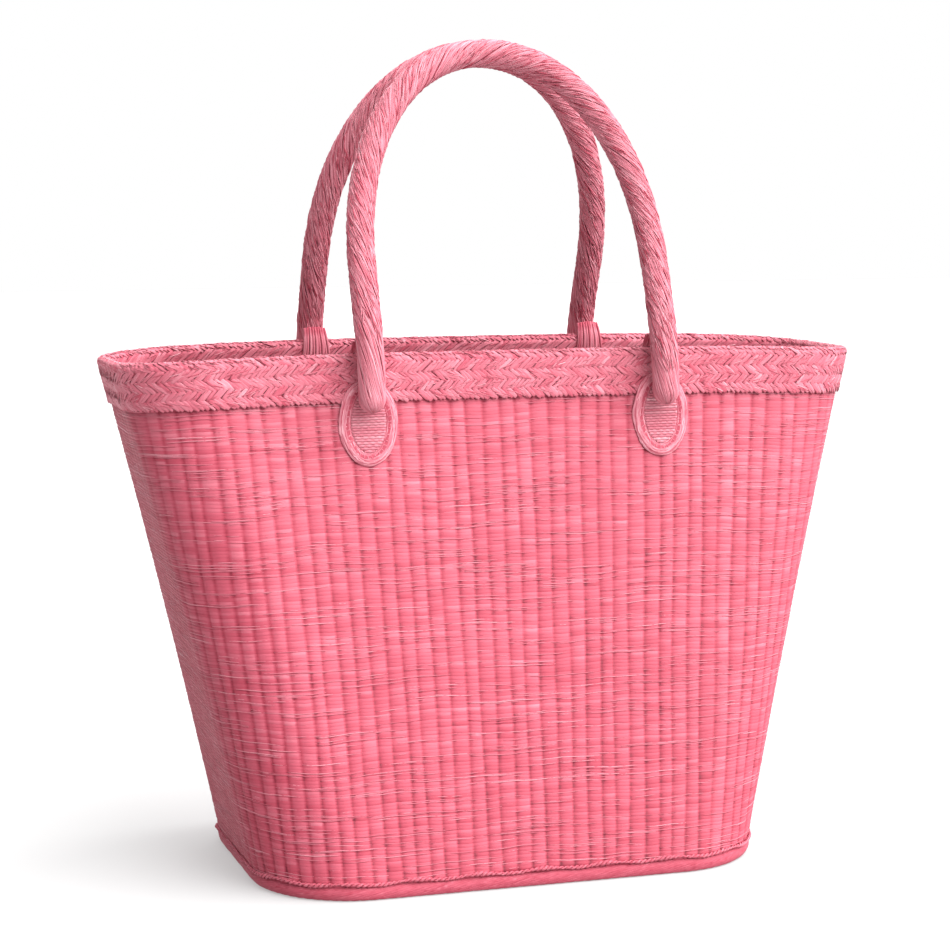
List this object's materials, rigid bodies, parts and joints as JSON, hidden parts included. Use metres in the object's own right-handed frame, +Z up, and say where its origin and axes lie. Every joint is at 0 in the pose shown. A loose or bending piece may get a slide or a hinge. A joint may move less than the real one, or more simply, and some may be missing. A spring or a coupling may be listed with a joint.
{
  "type": "beach bag",
  "caption": "Woven straw beach bag with a flared shell, plaited rim, welted flat base and two wrapped rope handles that tip outwards.",
  "frame": {"origin": "middle of the underside, on the surface the bag stands on", "axes": "+X along the mouth, -Y is the front, +Z up"},
  "size_m": [0.4614, 0.2064, 0.494],
  "materials": {
    "woven_straw": "dyed straw weave, satin",
    "plaited_straw": "dyed straw plait, satin",
    "rope_straw": "dyed straw wrapping, satin",
    "patch_straw": "dyed straw weave, satin",
    "welt_straw": "dyed rolled cord, satin",
    "seam_cord": "dyed twisted cord, matt",
    "inner_cord": "plain undyed cord, matt"
  },
  "bodies": {
    "basket": {"woven_wall": "woven_straw", "base_panel": "woven_straw", "base_welt": "welt_straw", "base_seam_cord": "seam_cord", "rim_binding": "plaited_straw", "rim_cord": "inner_cord", "front_left_patch": "patch_straw", "front_left_patch_border": "plaited_straw", "front_left_rope_end": "rope_straw", "front_left_inner_tab": "rope_straw", "front_right_patch": "patch_straw", "front_right_patch_border": "plaited_straw", "front_right_rope_end": "rope_straw", "front_right_inner_tab": "rope_straw", "back_left_patch": "patch_straw", "back_left_patch_border": "plaited_straw", "back_left_rope_end": "rope_straw", "back_left_inner_tab": "rope_straw", "back_right_patch": "patch_straw", "back_right_patch_border": "plaited_straw", "back_right_rope_end": "rope_straw", "back_right_inner_tab": "rope_straw"},
    "front_handle": {"front_handle_wrap": "rope_straw", "front_handle_core": "inner_cord"},
    "back_handle": {"back_handle_wrap": "rope_straw", "back_handle_core": "inner_cord"}
  },
  "joints": [
    {"name": "front_handle_tilt", "type": "hinge", "parent": "basket", "child": "front_handle", "pos_m": [0, -0.07309, 0.318], "axis": [1, 0, 0], "range_deg": [0, 80]},
    {"name": "back_handle_tilt", "type": "hinge", "parent": "basket", "child": "back_handle", "pos_m": [0, 0.07309, 0.318], "axis": [-1, 0, 0], "range_deg": [0, 80]}
  ]
}
